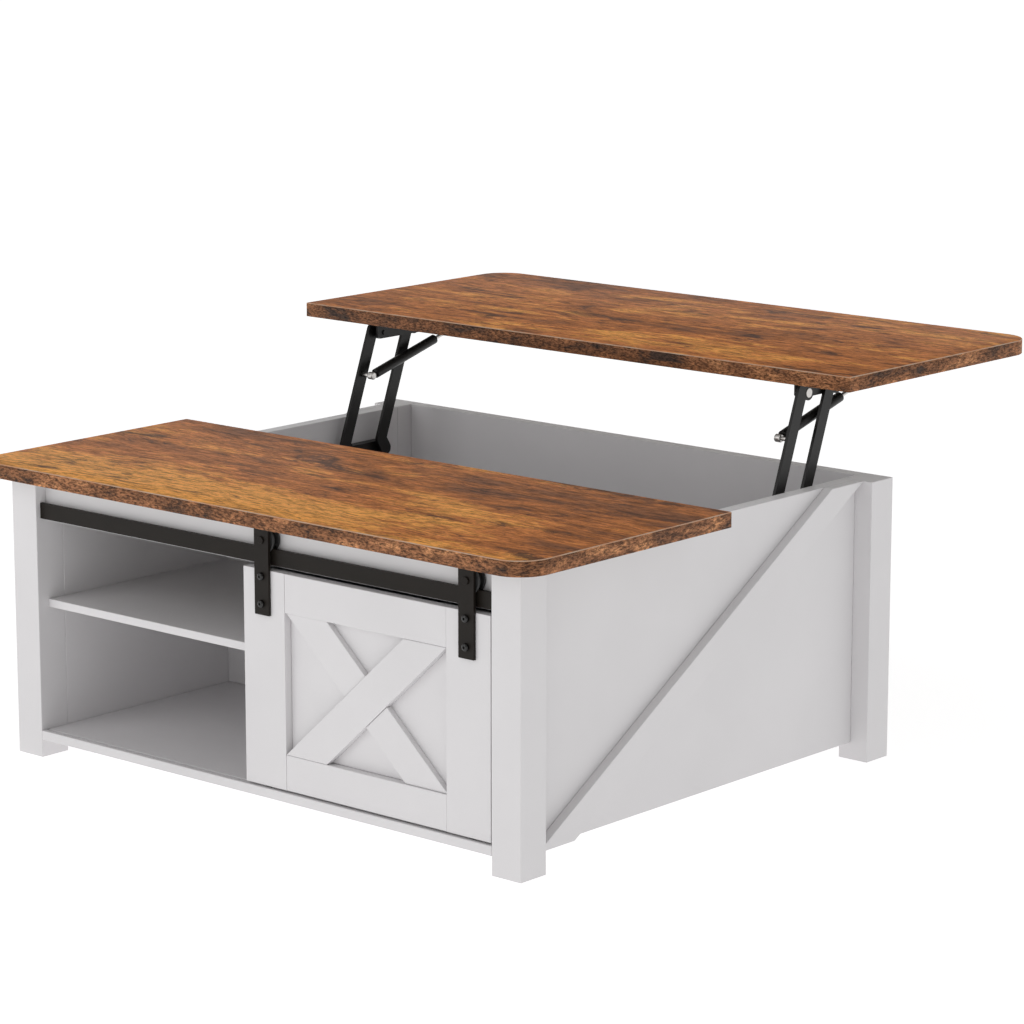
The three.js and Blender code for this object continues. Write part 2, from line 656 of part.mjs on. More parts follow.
makeLegs();
makeSides();
makeCabinet();
makeTops();
makeDoor();
makeHanger('left', STRAP_X[0]);
makeHanger('right', STRAP_X[1]);
makeRail();
makeArms();
makeBrackets();
makeStruts();

export default root;
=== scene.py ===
"""Finishes and fine parts of a lift top coffee table, laid over its CAD model."""

import json
import math

import bpy
from bpy.props import FloatProperty, FloatVectorProperty, IntProperty, PointerProperty
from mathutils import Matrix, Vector


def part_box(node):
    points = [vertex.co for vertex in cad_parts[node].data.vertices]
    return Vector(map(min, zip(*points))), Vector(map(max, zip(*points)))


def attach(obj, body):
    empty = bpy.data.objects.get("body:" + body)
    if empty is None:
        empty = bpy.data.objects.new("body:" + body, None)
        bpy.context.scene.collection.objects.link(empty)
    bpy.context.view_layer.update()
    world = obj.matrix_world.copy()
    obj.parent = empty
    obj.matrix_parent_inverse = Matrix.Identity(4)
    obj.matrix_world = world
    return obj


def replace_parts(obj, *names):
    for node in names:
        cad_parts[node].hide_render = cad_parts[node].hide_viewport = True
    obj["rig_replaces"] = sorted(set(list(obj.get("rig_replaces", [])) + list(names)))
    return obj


bl_info = {
    "name": "Lift Top Coffee Table",
    "version": (1, 0, 0),
    "blender": (4, 5, 0),
    "location": "View3D > Sidebar > Coffee Table",
    "description": "Builds the finishes, tops, hardware and studio of a lift top coffee table",
    "category": "Object",
}

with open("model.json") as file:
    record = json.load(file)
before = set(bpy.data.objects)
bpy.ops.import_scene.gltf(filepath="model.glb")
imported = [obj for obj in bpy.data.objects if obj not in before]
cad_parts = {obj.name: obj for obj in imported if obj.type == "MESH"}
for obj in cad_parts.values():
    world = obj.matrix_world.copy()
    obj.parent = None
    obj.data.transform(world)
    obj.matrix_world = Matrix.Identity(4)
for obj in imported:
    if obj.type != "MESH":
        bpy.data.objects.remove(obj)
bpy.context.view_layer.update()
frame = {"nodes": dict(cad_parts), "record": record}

WHITE_BOARDS = [
    "leg_front_left", "leg_front_right", "leg_rear_left", "leg_rear_right",
    "side_panel_left", "side_panel_right", "side_brace_left", "side_brace_right",
    "back_panel", "bottom_board", "partition_board", "fascia_board", "centre_divider",
    "shelf_left", "shelf_right", "door_stile_left", "door_stile_right",
    "door_rail_top", "door_rail_bottom", "door_panel",
    "cross_board", "cross_board_upper", "cross_board_lower",
]
RAIL_PARTS = [
    "door_rail", "door_strap_left", "door_strap_right",
    "rail_spacer_1", "rail_spacer_2", "rail_spacer_3",
    "rail_bolt_1", "rail_bolt_2", "rail_bolt_3", "roller_axle_left", "roller_axle_right",
]
NYLON_PARTS = ["roller_left", "roller_right", "guide_pin_left", "guide_pin_right"]
ARM_PARTS = [
    "front_arm_left", "front_arm_right", "rear_arm_left", "rear_arm_right",
    "base_bracket_left", "base_bracket_right", "top_bracket_left", "top_bracket_right",
]
CYLINDERS = ["strut_cylinder_left", "strut_cylinder_right"]
RODS = ["strut_rod_left", "strut_rod_right"]
BOTH_SIDES = (("right", 1), ("left", -1))

# Sizes of the small parts, in metres
BOLT_HEAD_HEIGHT = 0.0043
BOLT_DOME = 0.0031
BOLT_SOCKET_RADIUS = 0.0019
BOLT_SOCKET_DEPTH = 0.0024
BOLT_SHANK_RADIUS = 0.003
BALL_CUP_RADIUS = 0.0060
BALL_CUP_HALF = 0.0052
BALL_PIN_RADIUS = 0.0033
BALL_PIN_START = 0.0054
BALL_BOSS_RING = (0.005, 0.006)  # inner and outer radius of the boss round the pin
ARM_EAR_RADIUS = 0.0118
RIVET_PROUD_FRONT = 0.0009
RIVET_PROUD_REAR = 0.0007
RIVET_RIM = 0.0016
RIVET_DISH = -0.0001
SCREW_RADIUS = 0.0036
SCREW_HEIGHT = 0.0019
SCREW_DOME = 0.0014
SCREW_INSET = 0.0052
SCREW_PLACES = (0.10, 0.42, 0.74)  # shares of the bracket's length
BRACKET_PLATE = 0.0025
SLOT_LONG = 0.0022
SLOT_THIN = 0.0004
SHELF_PIN_RADIUS = 0.0024
SHELF_PIN_LENGTH = 0.009
SHELF_PIN_INSET = 0.045
SHELF_PIN_DROP = 0.0028
SHELF_PIN_SINK = 0.0002
COLLAR_RADIUS = 0.0027
COLLAR_LENGTH = 0.0012

# The studio round the table
FLOOR_SIZE = 60
FLOOR_DROP = 0.0005
HORIZON_FADE = (0.09, 0.20)  # heights over which the white horizon fades to the room
HORIZON_LIGHT = 1.02
KEY_PLACE = (-1.3, -3.7, 2.1)
KEY_AIM = (0, 0, 0.2)
KEY_SIZE = 2.4
FILL_PLACE = (3.6, 0.4, 2.4)
FILL_AIM = (0.3, 0, 0.2)
FILL_SIZE = 2.0


def colour(name, text, default):
    return FloatVectorProperty(
        name=name, description=text, default=default, size=3, min=0.0, max=1.0, subtype="COLOR"
    )


class TableFinishes(bpy.types.PropertyGroup):
    white: colour("White paint", "Coating of the cabinet boards", (0.715, 0.700, 0.708))
    wood_gold: colour("Golden grain", "Lightest grain of the tops", (0.90, 0.395, 0.088))
    wood_mid: colour("Orange grain", "Main tone of the tops", (0.60, 0.205, 0.054))
    wood_brown: colour("Brown grain", "Darker grain of the tops", (0.265, 0.100, 0.038))
    wood_dark: colour("Dark patches", "Weathered patches of the tops", (0.050, 0.026, 0.018))
    edge_light: colour("Edge grain", "Lightest grain of the edge band", (0.44, 0.200, 0.085))
    edge_brown: colour("Edge brown", "Main tone of the edge band", (0.235, 0.098, 0.042))
    edge_dark: colour("Edge dark", "Dark mottling of the edge band", (0.050, 0.028, 0.019))
    wood_arris: colour("Light arris", "Thin light line round the tops", (0.56, 0.40, 0.28))
    backing: colour("Backing", "Pale laminate under the tops", (0.40, 0.375, 0.35))
    rail_grey: colour("Rail coating", "Powder coat of the rail and straps", (0.0110, 0.0082, 0.0060))
    black: colour("Black paint", "Paint of the arms and brackets", (0.0075, 0.007, 0.0065))
    steel: colour("Bright steel", "Rivets and strut rods", (0.62, 0.60, 0.58))


class TableSizes(bpy.types.PropertyGroup):
    corner_radius: FloatProperty(
        name="Corner radius", description="Outer corners of both tops",
        default=0.048, min=0.005, max=0.2, unit="LENGTH",
    )
    top_arris: FloatProperty(
        name="Top arris", description="Small bevel round the tops",
        default=0.0011, min=0.0001, max=0.005, unit="LENGTH",
    )
    board_arris: FloatProperty(
        name="Board arris", description="Small bevel on the white boards",
        default=0.0009, min=0.0001, max=0.005, unit="LENGTH",
    )
    metal_arris: FloatProperty(
        name="Metal arris", description="Small bevel on the metal parts",
        default=0.0005, min=0.0001, max=0.003, unit="LENGTH",
    )
    rivet_radius: FloatProperty(
        name="Rivet radius", description="Bright rivet heads of the arms",
        default=0.0068, min=0.002, max=0.02, unit="LENGTH",
    )
    arris_steps: IntProperty(
        name="Arris steps", description="Segments across each small bevel", default=2, min=1, max=6,
    )


class StudioSettings(bpy.types.PropertyGroup):
    camera_place: FloatVectorProperty(
        name="Camera place", description="Camera position in the table's frame",
        default=(3.5351, -4.0493, 1.4740), size=3, subtype="TRANSLATION", unit="LENGTH",
    )
    camera_aim: FloatVectorProperty(
        name="Camera aim", description="Point the camera looks at",
        default=(0.3182, -0.3625, 0.4448), size=3, subtype="TRANSLATION", unit="LENGTH",
    )
    lens: FloatProperty(name="Lens", description="Focal length in millimetres", default=130.25, min=20)
    key_power: FloatProperty(name="Key light", description="Power of the key light", default=21.0, min=0)
    fill_power: FloatProperty(name="Fill light", description="Power of the side light", default=0.3, min=0)
    floor_glow: FloatProperty(name="Floor glow", description="Light of the lit floor", default=0.50, min=0)
    sky: FloatProperty(name="Room light", description="Strength of the room overhead", default=0.545, min=0)


# Mesh helpers ----------------------------------------------------------------


def clear_selection():
    if bpy.context.object and bpy.context.object.mode != "OBJECT":
        bpy.ops.object.mode_set(mode="OBJECT")
    bpy.ops.object.select_all(action="DESELECT")


def only(obj):
    clear_selection()
    obj.select_set(True)
    bpy.context.view_layer.objects.active = obj


def settle(obj, name):
    """Put the place, turn and size of the object into its mesh."""
    only(obj)
    bpy.ops.object.transform_apply(location=True, rotation=True, scale=True)
    obj.name = name
    obj.data.name = name
    return obj


def add_cube(low, high):
    clear_selection()
    centre = [(a + b) / 2 for a, b in zip(low, high)]
    size = [b - a for a, b in zip(low, high)]
    bpy.ops.mesh.primitive_cube_add(size=1, location=centre)
    obj = bpy.context.object
    obj.scale = size
    bpy.ops.object.transform_apply(location=True, rotation=True, scale=True)
    return obj


def add_cylinder(radius, start, end, sides=24):
    clear_selection()
    a, b = Vector(start), Vector(end)
    turn = (b - a).to_track_quat("Z", "Y").to_euler()
    bpy.ops.mesh.primitive_cylinder_add(
        vertices=sides, radius=radius, depth=(b - a).length, location=(a + b) / 2, rotation=turn
    )
    bpy.ops.object.transform_apply(location=True, rotation=True, scale=True)
    return bpy.context.object


def pick_edges(obj, test):
    """Edit mode with only the edges whose two ends pass the test."""
    only(obj)
    bpy.ops.object.mode_set(mode="EDIT")
    bpy.ops.mesh.select_mode(type="EDGE")
    bpy.ops.mesh.select_all(action="DESELECT")
    bpy.ops.object.mode_set(mode="OBJECT")
    verts = obj.data.vertices
    for edge in obj.data.edges:
        a, b = (verts[i].co for i in edge.vertices)
        edge.select = test(a, b)
    bpy.ops.object.mode_set(mode="EDIT")


def pick_faces(obj, test):
    """Edit mode with only the faces that pass the test."""
    only(obj)
    bpy.ops.object.mode_set(mode="EDIT")
    bpy.ops.mesh.select_mode(type="FACE")
    bpy.ops.mesh.select_all(action="DESELECT")
    bpy.ops.object.mode_set(mode="OBJECT")
    for face in obj.data.polygons:
        face.select = test(face)
    bpy.ops.object.mode_set(mode="EDIT")


def object_mode():
    bpy.ops.object.mode_set(mode="OBJECT")


def apply_bevel(obj, width, steps=2, angle=35.0):
    only(obj)
    mod = obj.modifiers.new("Arris", "BEVEL")
    mod.width = width
    mod.segments = steps
    mod.limit_method = "ANGLE"
    mod.angle_limit = math.radians(angle)
    bpy.ops.object.modifier_apply(modifier=mod.name)


def cut(obj, tool):
    only(obj)
    mod = obj.modifiers.new("Cut", "BOOLEAN")
    mod.operation = "DIFFERENCE"
    mod.solver = "EXACT"
    mod.object = tool
    bpy.ops.object.modifier_apply(modifier=mod.name)
    bpy.data.objects.remove(tool, do_unlink=True)


def merge(objs, name):
    clear_selection()
    for obj in objs:
        obj.select_set(True)
    bpy.context.view_layer.objects.active = objs[0]
    if len(objs) > 1:
        bpy.ops.object.join()
    return settle(bpy.context.object, name)


def smooth(obj, angle=35.0):
    only(obj)
    bpy.ops.object.shade_smooth_by_angle(angle=math.radians(angle))


def copy_piece(obj, name, shift):
    new = obj.copy()
    new.data = obj.data.copy()
    bpy.context.collection.objects.link(new)
    new.location = shift
    return settle(new, name)


def paint(obj, *materials):
    obj.data.materials.clear()
    for material in materials:
        obj.data.materials.append(material)


def paint_node(name, material):
    obj = frame["nodes"][name]
    for i in range(max(1, len(obj.material_slots))):
        if i < len(obj.material_slots):
            obj.material_slots[i].link = "OBJECT"
            obj.material_slots[i].material = material
        else:
            obj.data.materials.append(material)
    return obj


def ease_node(obj, width, steps, angle=40.0):
    """Small round arrises on a CAD board, as live modifiers."""
    weld = obj.modifiers.new("Weld", "WELD")
    weld.merge_threshold = 0.00002
    flat = obj.modifiers.new("Flat faces", "DECIMATE")
    flat.decimate_type = "DISSOLVE"
    flat.angle_limit = math.radians(1.0)
    mod = obj.modifiers.new("Arris", "BEVEL")
    mod.width = width
    mod.segments = steps
    mod.limit_method = "ANGLE"
    mod.angle_limit = math.radians(angle)
    mod.harden_normals = False


# Material helpers ------------------------------------------------------------


class Nodes:
    """Short hand for adding and joining the nodes of one material."""

    def __init__(self, name):
        self.material = bpy.data.materials.new(name)
        self.material.use_nodes = True
        self.tree = self.material.node_tree
        self.shader = self.tree.nodes["Principled BSDF"]
        self.count = 0

    def add(self, kind, values=None, **settings):
        node = self.tree.nodes.new(kind)
        self.count += 1
        node.location = (-260 * (1 + self.count // 4), 300 - 220 * (self.count % 4))
        for key, value in settings.items():
            setattr(node, key, value)
        for key, value in (values or {}).items():
            if isinstance(value, bpy.types.NodeSocket):
                self.tree.links.new(value, node.inputs[key])
            else:
                node.inputs[key].default_value = value
        return node

    def place(self, scale=(1, 1, 1), location=(0, 0, 0)):
        coords = self.add("ShaderNodeTexCoord")
        mapping = self.add("ShaderNodeMapping", {"Vector": coords.outputs["Object"]})
        mapping.inputs["Scale"].default_value = scale
        mapping.inputs["Location"].default_value = location
        return mapping.outputs["Vector"]

    def spot(self, centre, radii):
        """Coordinates that are zero at the centre and one at the radii."""
        location = (-centre[0] / radii[0], -centre[1] / radii[1], 0.0)
        return self.place((1 / radii[0], 1 / radii[1], 0.0), location)

    def noise(self, vector, scale, detail=4.0, rough=0.55, distortion=0.0):
        node = self.add(
            "ShaderNodeTexNoise",
            {"Vector": vector, "Scale": scale, "Detail": detail, "Roughness": rough,
             "Distortion": distortion},
        )
        return node.outputs["Fac"]

    def ramp(self, factor, stops):
        node = self.add("ShaderNodeValToRGB", {"Fac": factor})
        elements = node.color_ramp.elements
        while len(elements) < len(stops):
            elements.new(0.5)
        for element, (place, value) in zip(elements, stops):
            element.position = place
            if isinstance(value, (int, float)):
                value = (value, value, value)
            element.color = (*value[:3], 1)
        return node.outputs["Color"]

    def mix(self, factor, a, b, kind="MIX"):
        node = self.add("ShaderNodeMix", data_type="RGBA", blend_type=kind)
        for socket, value in ((node.inputs[0], factor), (node.inputs[6], a), (node.inputs[7], b)):
            if isinstance(value, bpy.types.NodeSocket):
                self.tree.links.new(value, socket)
            elif isinstance(value, (int, float)):
                socket.default_value = value
            else:
                socket.default_value = (*value[:3], 1)
        return node.outputs[2]

    def maths(self, operation, a, b=0.0):
        node = self.add("ShaderNodeMath", operation=operation)
        for socket, value in zip(node.inputs, (a, b)):
            if isinstance(value, bpy.types.NodeSocket):
                self.tree.links.new(value, socket)
            else:
                socket.default_value = value
        return node.outputs[0]

    def bump(self, height, strength, distance=0.001):
        node = self.add(
            "ShaderNodeBump", {"Height": height, "Strength": strength, "Distance": distance}
        )
        self.tree.links.new(node.outputs["Normal"], self.shader.inputs["Normal"])

    def set(self, name, value):
        if isinstance(value, bpy.types.NodeSocket):
            self.tree.links.new(value, self.shader.inputs[name])
        else:
            self.shader.inputs[name].default_value = value


def tinted(value, factor):
    return tuple(min(1.0, c * factor) for c in value)


def white_paint(finish):
    """Satin white coating with a faint fine texture."""
    n = Nodes("cabinet_white")
    cloud = n.noise(n.place((1, 1, 1)), 4.0, 3.0)
    base = n.ramp(cloud, [(0.3, tinted(finish.white, 0.965)), (0.7, tinted(finish.white, 1.02))])
    speck = n.noise(n.place((1, 1, 1)), 900.0, 2.0)
    colour_out = n.mix(n.ramp(speck, [(0.35, 0.0), (0.75, 0.05)]), base, tinted(finish.white, 0.85))
    n.set("Base Color", colour_out)
    n.set("Roughness", n.ramp(n.noise(n.place((1, 1, 1)), 30.0, 4.0), [(0.3, 0.36), (0.7, 0.48)]))
    n.bump(n.noise(n.place((1, 1, 1)), 700.0, 3.0), 0.06, 0.0004)
    n.shader.inputs["Specular IOR Level"].default_value = 0.3
    return n.material


def wood_face(finish, name, shift, glow):
    """Rustic laminate with the grain along X and one golden area.

    glow is the centre, radii and strength of that area.
    """
    n = Nodes(name)
    wave = n.noise(n.place((0.9, 1.8, 1.8), shift), 2.6, 2.0)
    coords = n.place((1.0, 1.0, 1.0), shift)
    split = n.add("ShaderNodeSeparateXYZ", {"Vector": coords})
    drift = n.maths("MULTIPLY", n.maths("SUBTRACT", wave, 0.5), 0.05)
    bent = n.add(
        "ShaderNodeCombineXYZ",
        {"X": split.outputs["X"], "Y": n.maths("ADD", split.outputs["Y"], drift), "Z": split.outputs["Z"]},
    ).outputs["Vector"]

    def stretched(x, y):
        node = n.add("ShaderNodeMapping", {"Vector": bent})
        node.inputs["Scale"].default_value = (x, y, y)
        return node.outputs["Vector"]

    cx, cy, rx, ry, strength = glow
    spot = n.spot((cx, cy), (rx, ry))
    area = n.add("ShaderNodeTexGradient", {"Vector": spot}, gradient_type="SPHERICAL")
    golden = n.maths("MULTIPLY", area.outputs["Fac"], strength)

    broad = n.noise(stretched(2.6, 8.0), 1.0, 3.0, 0.55, 0.5)
    blotch = n.noise(stretched(9.0, 42.0), 1.0, 6.0, 0.64, 0.6)
    level = n.maths("ADD", n.maths("MULTIPLY", broad, 0.5), n.maths("MULTIPLY", blotch, 0.5))
    level = n.maths("ADD", level, golden)
    tone = n.ramp(
        level,
        [(0.40, finish.wood_brown), (0.465, tinted(finish.wood_mid, 0.76)), (0.53, finish.wood_mid),
         (0.62, finish.wood_gold)],
    )
    grain = n.noise(stretched(34.0, 190.0), 1.0, 7.0, 0.72, 0.3)
    tone = n.mix(0.95, tone, n.ramp(grain, [(0.38, 0.50), (0.50, 1.0), (0.62, 1.24)]), "MULTIPLY")
    patch = n.noise(stretched(6.5, 22.0), 1.0, 7.0, 0.70, 0.8)
    fleck = n.noise(stretched(80.0, 330.0), 1.0, 5.0, 0.70, 0.3)
    tone = n.mix(0.8, tone, n.ramp(fleck, [(0.36, 0.50), (0.50, 1.0), (0.64, 1.22)]), "MULTIPLY")
    torn = n.maths("ADD", n.maths("MULTIPLY", patch, 0.72), n.maths("MULTIPLY", fleck, 0.28))
    tone = n.mix(n.ramp(torn, [(0.53, 0.0), (0.60, 0.85)]), tone, finish.wood_dark)
    ticks = n.noise(stretched(30.0, 75.0), 1.0, 5.0, 0.62, 0.5)
    tone = n.mix(n.ramp(ticks, [(0.62, 0.0), (0.69, 0.7)]), tone, finish.wood_dark)
    n.set("Base Color", tone)
    n.set("Roughness", n.ramp(grain, [(0.3, 0.56), (0.7, 0.44)]))
    n.bump(n.mix(0.5, grain, fleck), 0.08, 0.0005)
    n.shader.inputs["Specular IOR Level"].default_value = 0.05
    return n.material


def wood_edge(finish):
    """Edge band: the same wood, darker, with a fine mottled grain."""
    n = Nodes("wood_edge")
    base = n.noise(n.place((13.0, 13.0, 34.0)), 1.0, 6.0, 0.68, 0.4)
    tone = n.ramp(
        base,
        [(0.36, finish.edge_dark), (0.45, tinted(finish.edge_brown, 0.72)), (0.53, finish.edge_brown),
         (0.65, finish.edge_light)],
    )
    fleck = n.noise(n.place((150.0, 150.0, 460.0)), 1.0, 5.0, 0.72, 0.2)
    tone = n.mix(1.0, tone, n.ramp(fleck, [(0.40, 0.28), (0.50, 0.95), (0.60, 1.70)]), "MULTIPLY")
    n.set("Base Color", tone)
    n.set("Roughness", n.ramp(fleck, [(0.3, 0.64), (0.7, 0.52)]))
    n.bump(fleck, 0.12, 0.0005)
    n.shader.inputs["Specular IOR Level"].default_value = 0.2
    return n.material


def wood_arris(finish):
    """Thin light line on the up-facing arris where the laminate meets the edge band."""
    n = Nodes("wood_arris")
    arris_mottle = n.noise(n.place((40.0, 40.0, 40.0)), 1.0, 4.0)
    low = tuple(0.4 * a + 0.6 * b for a, b in zip(finish.wood_arris, finish.wood_mid))
    n.set("Base Color", n.ramp(arris_mottle, [(0.35, low), (0.6, finish.wood_arris)]))
    n.set("Roughness", n.ramp(arris_mottle, [(0.3, 0.5), (0.7, 0.4)]))
    n.bump(arris_mottle, 0.05, 0.0003)
    return n.material


def wood_backing(finish):
    """Pale balancing laminate on the undersides."""
    n = Nodes("wood_backing")
    base = n.noise(n.place((2.0, 40.0, 40.0)), 3.0, 5.0, 0.6)
    light, dark = tinted(finish.backing, 1.05), tinted(finish.backing, 0.9)
    n.set("Base Color", n.ramp(base, [(0.3, dark), (0.7, light)]))
    n.set("Roughness", n.ramp(base, [(0.3, 0.7), (0.7, 0.6)]))
    n.bump(base, 0.08, 0.0005)
    return n.material


def coated_metal(name, value, rough=(0.44, 0.56), specular=0.18):
    """Powder coat with fine lighter specks."""
    n = Nodes(name)
    cloud = n.noise(n.place((1, 1, 1)), 22.0, 4.0)
    base = n.ramp(cloud, [(0.3, tinted(value, 0.86)), (0.7, tinted(value, 1.12))])
    speck = n.noise(n.place((1, 1, 1)), 1400.0, 2.0)
    n.set("Base Color", n.mix(n.ramp(speck, [(0.45, 0.0), (0.8, 0.18)]), base, tinted(value, 1.9)))
    n.set("Roughness", n.ramp(speck, [(0.3, rough[0]), (0.7, rough[1])]))
    n.bump(speck, 0.05, 0.0003)
    n.shader.inputs["Specular IOR Level"].default_value = specular
    return n.material


def bright_steel(finish):
    """Brushed bright steel."""
    n = Nodes("bright_steel")
    brush = n.noise(n.place((300, 300, 40)), 3.0, 4.0)
    light, dark = tinted(finish.steel, 1.1), tinted(finish.steel, 0.85)
    n.set("Base Color", n.ramp(brush, [(0.3, dark), (0.7, light)]))
    n.set("Roughness", n.ramp(brush, [(0.3, 0.24), (0.7, 0.38)]))
    n.bump(brush, 0.04, 0.0002)
    n.shader.inputs["Metallic"].default_value = 1.0
    return n.material


def nylon():
    """Black nylon of the rollers and guide pins."""
    n = Nodes("black_nylon")
    cloud = n.noise(n.place((1, 1, 1)), 260.0, 3.0)
    n.set("Base Color", n.ramp(cloud, [(0.3, (0.012, 0.012, 0.012)), (0.7, (0.022, 0.021, 0.021))]))
    n.set("Roughness", n.ramp(cloud, [(0.3, 0.38), (0.7, 0.52)]))
    n.bump(cloud, 0.05, 0.0003)
    return n.material


def made(name, maker, *values):
    """The material of that name, made if it isn't there yet."""
    return bpy.data.materials.get(name) or maker(*values)


# Operators -------------------------------------------------------------------


class TABLE_OT_white_boards(bpy.types.Operator):
    """Paint the white boards and ease their arrises"""

    bl_idname = "table.white_boards"
    bl_label = "White boards"

    def execute(self, context):
        sizes = context.scene.table_sizes
        material = made("cabinet_white", white_paint, context.scene.table_finishes)
        for name in WHITE_BOARDS:
            obj = paint_node(name, material)
            ease_node(obj, sizes.board_arris, sizes.arris_steps)
        return {"FINISHED"}


def top_board(node, name, outer_front, materials, sizes, body):
    """A top board with rounded outer corners, a small arris and banded edges."""
    low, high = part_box(node)
    obj = add_cube(low, high)
    outer = low[1] if outer_front else high[1]

    def corner(a, b):
        upright = abs(a.x - b.x) < 1e-5 and abs(a.y - b.y) < 1e-5
        return upright and abs(a.y - outer) < 1e-4

    pick_edges(obj, corner)
    bpy.ops.mesh.bevel(offset=sizes.corner_radius, segments=18, affect="EDGES")
    object_mode()
    apply_bevel(obj, sizes.top_arris, sizes.arris_steps + 1)
    settle(obj, name)
    paint(obj, *materials)
    for face in obj.data.polygons:
        if face.normal.z > 0.98:
            face.material_index = 0
        elif face.normal.z < -0.8:
            face.material_index = 2
        elif face.normal.z > 0.1:
            face.material_index = 3
        else:
            face.material_index = 1
    smooth(obj, 30.0)
    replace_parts(obj, node)
    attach(obj, body)
    return obj


class TABLE_OT_tops(bpy.types.Operator):
    """Make the fixed top and the lift top in rustic wood"""

    bl_idname = "table.tops"
    bl_label = "Wood tops"

    def execute(self, context):
        finish = context.scene.table_finishes
        sizes = context.scene.table_sizes
        edge = made("wood_edge", wood_edge, finish)
        back = made("wood_backing", wood_backing, finish)
        line = made("wood_arris", wood_arris, finish)
        glow = (-0.18, -0.57, 0.68, 0.17, 0.22)
        front = made("wood_front", wood_face, finish, "wood_front", (0.0, 0.0, 0.0), glow)
        glow = (0.16, 0.20, 0.45, 0.18, 0.08)
        rear = made("wood_rear", wood_face, finish, "wood_rear", (3.7, 2.3, 1.1), glow)
        top_board("fixed_top", "top_board_front", True, (front, edge, back, line), sizes, "cabinet")
        top_board("lift_top", "top_board_lift", False, (rear, edge, back, line), sizes, "lift_top")
        return {"FINISHED"}


class TABLE_OT_door_hardware(bpy.types.Operator):
    """Coat the rail, straps and rollers of the sliding door"""

    bl_idname = "table.door_hardware"
    bl_label = "Door hardware"

    def execute(self, context):
        finish = context.scene.table_finishes
        sizes = context.scene.table_sizes
        coat = made("rail_coat", coated_metal, "rail_coat", finish.rail_grey)
        plastic = made("black_nylon", nylon)
        for name in RAIL_PARTS:
            ease_node(paint_node(name, coat), sizes.metal_arris, sizes.arris_steps, 50.0)
        for name in NYLON_PARTS:
            ease_node(paint_node(name, plastic), sizes.metal_arris, sizes.arris_steps, 50.0)
        return {"FINISHED"}


class TABLE_OT_strap_bolts(bpy.types.Operator):
    """Make the round socket head bolts of the straps"""

    bl_idname = "table.strap_bolts"
    bl_label = "Strap bolts"

    def execute(self, context):
        finish = context.scene.table_finishes
        dark = tinted(finish.black, 0.6)
        gloss = made("bolt_black", coated_metal, "bolt_black", dark, (0.10, 0.16), 0.5)
        first = "strap_bolt_left_low"
        low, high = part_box(first)
        x, z = (low[0] + high[0]) / 2, (low[2] + high[2]) / 2
        radius = (high[0] - low[0]) / 2
        face = low[1] + BOLT_HEAD_HEIGHT
        head = add_cylinder(radius, (x, face, z), (x, low[1], z), 32)
        pick_edges(head, lambda a, b: abs(a.y - low[1]) < 1e-5 and abs(b.y - low[1]) < 1e-5)
        bpy.ops.mesh.bevel(offset=BOLT_DOME, segments=6, profile=0.55, affect="EDGES")
        object_mode()
        floor = (x, low[1] + BOLT_SOCKET_DEPTH, z)
        cut(head, add_cylinder(BOLT_SOCKET_RADIUS, (x, low[1] - 0.001, z), floor, 6))
        apply_bevel(head, 0.00015, 2, 40.0)
        shank = add_cylinder(BOLT_SHANK_RADIUS, (x, face, z), (x, high[1], z), 20)
        apply_bevel(shank, 0.0004, 2, 40.0)
        bolt = merge([head, shank], "bolt_left_low")
        smooth(bolt, 40.0)
        paint(bolt, gloss)
        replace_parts(bolt, first)
        copies = [bolt]
        for name in ("bolt_left_high", "bolt_right_low", "bolt_right_high"):
            node = "strap_" + name
            place = Vector(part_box(node)[0]) - Vector(low)
            new = copy_piece(bolt, name, place)
            new["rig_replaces"] = []
            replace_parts(new, node)
            copies.append(new)
        for obj in copies:
            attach(obj, "door")
        return {"FINISHED"}


class TABLE_OT_lift_arms(bpy.types.Operator):
    """Paint the arms, brackets and gas struts of the lift"""

    bl_idname = "table.lift_arms"
    bl_label = "Lift arms"

    def execute(self, context):
        finish = context.scene.table_finishes
        sizes = context.scene.table_sizes
        black = made("arm_black", coated_metal, "arm_black", finish.black, (0.30, 0.40), 0.3)
        steel = made("bright_steel", bright_steel, finish)
        for name in ARM_PARTS + CYLINDERS:
            ease_node(paint_node(name, black), sizes.metal_arris, sizes.arris_steps, 50.0)
        for name in RODS:
            ease_node(paint_node(name, steel), sizes.metal_arris, sizes.arris_steps, 50.0)
        return {"FINISHED"}


